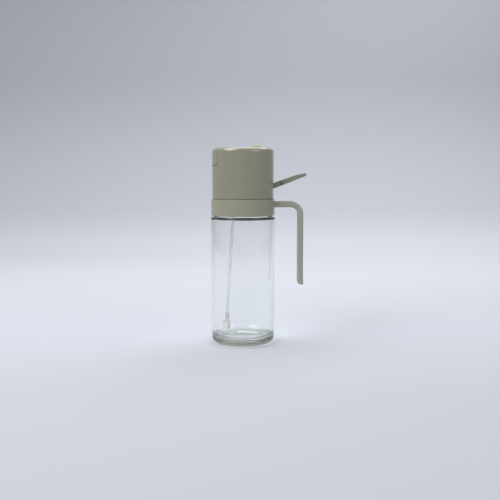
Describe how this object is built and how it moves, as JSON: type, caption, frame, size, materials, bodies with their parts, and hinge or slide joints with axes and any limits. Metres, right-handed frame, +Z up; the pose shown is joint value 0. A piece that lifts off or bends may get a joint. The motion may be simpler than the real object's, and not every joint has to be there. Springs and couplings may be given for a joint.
{
  "type": "oil dispenser",
  "caption": "Clear glass oil dispenser bottle with a screw collar, L-shaped side handle, thumb lever sprayer, lidded pouring spout and dip tube.",
  "frame": {"origin": "centre of the bottle's standing ring, on the surface it stands on", "axes": "+Z up along the bottle's axis, -X towards the spout and nozzle, +X towards the handle and lever"},
  "size_m": [0.1064, 0.0718, 0.2201],
  "materials": {
    "glass": "clear polished glass with a faint green edge",
    "collar_plastic": "glossy moulded greige",
    "head_plastic": "glossy moulded greige",
    "lid_plastic": "glossy moulded greige",
    "handle_plastic": "glossy moulded greige",
    "lever_plastic": "satin moulded greige",
    "nozzle_plastic": "satin moulded greige",
    "inner_plastic": "satin moulded pale grey",
    "tube_plastic": "translucent natural plastic",
    "filter_plastic": "translucent natural plastic",
    "button_plastic": "glossy yellow",
    "pin_steel": "plain steel"
  },
  "bodies": {
    "dispenser": {"bottle": "glass", "collar": "collar_plastic", "handle": "handle_plastic", "closure": "inner_plastic", "dip_tube": "tube_plastic", "filter_sleeve": "filter_plastic", "filter_cup": "filter_plastic", "head": "head_plastic", "nozzle": "nozzle_plastic", "spout": "inner_plastic", "lid_pin": "pin_steel", "lever_pin": "pin_steel"},
    "lid": {"lid": "lid_plastic"},
    "lever": {"lever": "lever_plastic"},
    "button": {"button": "button_plastic"}
  },
  "joints": [
    {"name": "lever_hinge", "type": "hinge", "parent": "dispenser", "child": "lever", "pos_m": [0.018, 0, 0.1698], "axis": [0, 1, 0], "range_deg": [0, 18], "stiffness_Nm_per_rad": 0.6, "springref_deg": -8.59},
    {"name": "lid_hinge", "type": "hinge", "parent": "dispenser", "child": "lid", "pos_m": [-0.0008, 0, 0.2135], "axis": [0, 1, 0], "range_deg": [0, 80]},
    {"name": "button_press", "type": "slide", "parent": "dispenser", "child": "button", "axis": [0, 0, -1], "range_m": [0, 0.0015], "stiffness_N_per_m": 800, "springref_m": -0.001}
  ]
}
